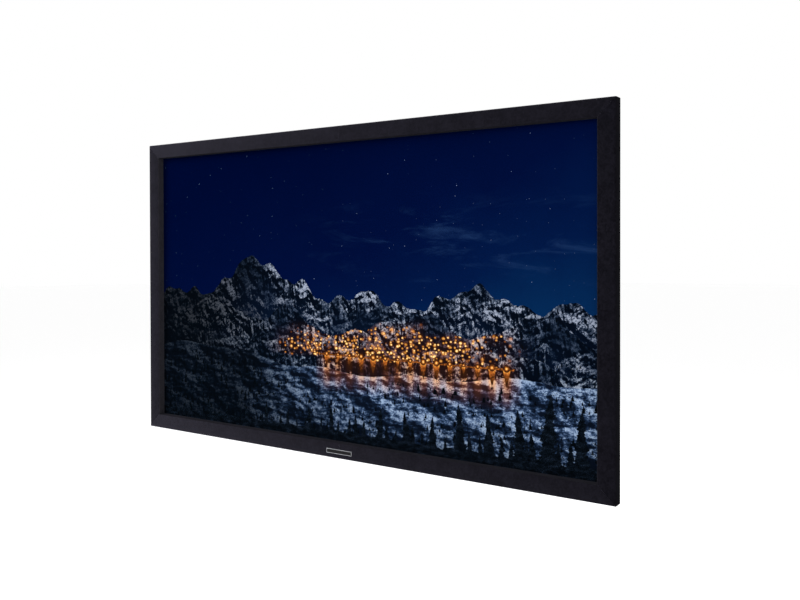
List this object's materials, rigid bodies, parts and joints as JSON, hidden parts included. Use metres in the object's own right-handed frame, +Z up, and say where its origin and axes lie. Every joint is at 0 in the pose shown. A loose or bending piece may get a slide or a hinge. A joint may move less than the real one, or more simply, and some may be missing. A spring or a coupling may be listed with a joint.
{
  "type": "fixed frame projector screen",
  "caption": "Wall-hung projection screen: a wide sheet stretched by springs in a deep velvet-covered aluminium frame.",
  "frame": {"origin": "middle of the box round the whole screen", "axes": "+X to the viewer's right along the width, +Z up, -Y out of the picture towards the viewer, +Y towards the wall"},
  "size_m": [2.157, 0.043, 1.266],
  "materials": {
    "aluminium": "mill extrusion, satin",
    "black_velvet": "flocked black velvet, light absorbing",
    "black_steel": "black powder coat",
    "zinc_steel": "bright zinc plated",
    "screen_fabric": "matt white PVC, black backed",
    "badge": "brushed, bare",
    "night_sky": "matt picture colour, navy",
    "night_hills": "matt picture colour, blue grey",
    "night_snow": "matt picture colour, pale blue",
    "lamp_light": "matt picture colour, warm orange",
    "night_firs": "matt picture colour, near black"
  },
  "bodies": {
    "root": {"badge_plate": "badge", "corner_bracket_bottom_left": "black_steel", "corner_bracket_bottom_right": "black_steel", "corner_bracket_top_left": "black_steel", "corner_bracket_top_right": "black_steel", "corner_screw_bottom_left_1": "zinc_steel", "corner_screw_bottom_left_2": "zinc_steel", "corner_screw_bottom_left_3": "zinc_steel", "corner_screw_bottom_left_4": "zinc_steel", "corner_screw_bottom_right_1": "zinc_steel", "corner_screw_bottom_right_2": "zinc_steel", "corner_screw_bottom_right_3": "zinc_steel", "corner_screw_bottom_right_4": "zinc_steel", "corner_screw_top_left_1": "zinc_steel", "corner_screw_top_left_2": "zinc_steel", "corner_screw_top_left_3": "zinc_steel", "corner_screw_top_left_4": "zinc_steel", "corner_screw_top_right_1": "zinc_steel", "corner_screw_top_right_2": "zinc_steel", "corner_screw_top_right_3": "zinc_steel", "corner_screw_top_right_4": "zinc_steel", "frame_bottom_left": "aluminium", "frame_bottom_right": "aluminium", "frame_left": "aluminium", "frame_right": "aluminium", "frame_top_left": "aluminium", "frame_top_right": "aluminium", "picture_firs": "night_firs", "picture_hills": "night_hills", "picture_lamps": "lamp_light", "picture_night_sky": "night_sky", "picture_snow_field": "night_snow", "projection_sheet": "screen_fabric", "splice_plate_bottom": "black_steel", "splice_plate_top": "black_steel", "splice_screw_bottom_1": "zinc_steel", "splice_screw_bottom_2": "zinc_steel", "splice_screw_bottom_3": "zinc_steel", "splice_screw_bottom_4": "zinc_steel", "splice_screw_top_1": "zinc_steel", "splice_screw_top_2": "zinc_steel", "splice_screw_top_3": "zinc_steel", "splice_screw_top_4": "zinc_steel", "support_bar": "aluminium", "support_bar_screw_bottom": "zinc_steel", "support_bar_screw_top": "zinc_steel", "tension_rod_bottom": "zinc_steel", "tension_rod_left": "zinc_steel", "tension_rod_right": "zinc_steel", "tension_rod_top": "zinc_steel", "velvet_bottom_left": "black_velvet", "velvet_bottom_right": "black_velvet", "velvet_left": "black_velvet", "velvet_right": "black_velvet", "velvet_top_left": "black_velvet", "velvet_top_right": "black_velvet", "wall_bracket_bottom_left": "black_steel", "wall_bracket_bottom_right": "black_steel", "wall_bracket_top_left": "black_steel", "wall_bracket_top_right": "black_steel"}
  },
  "joints": []
}
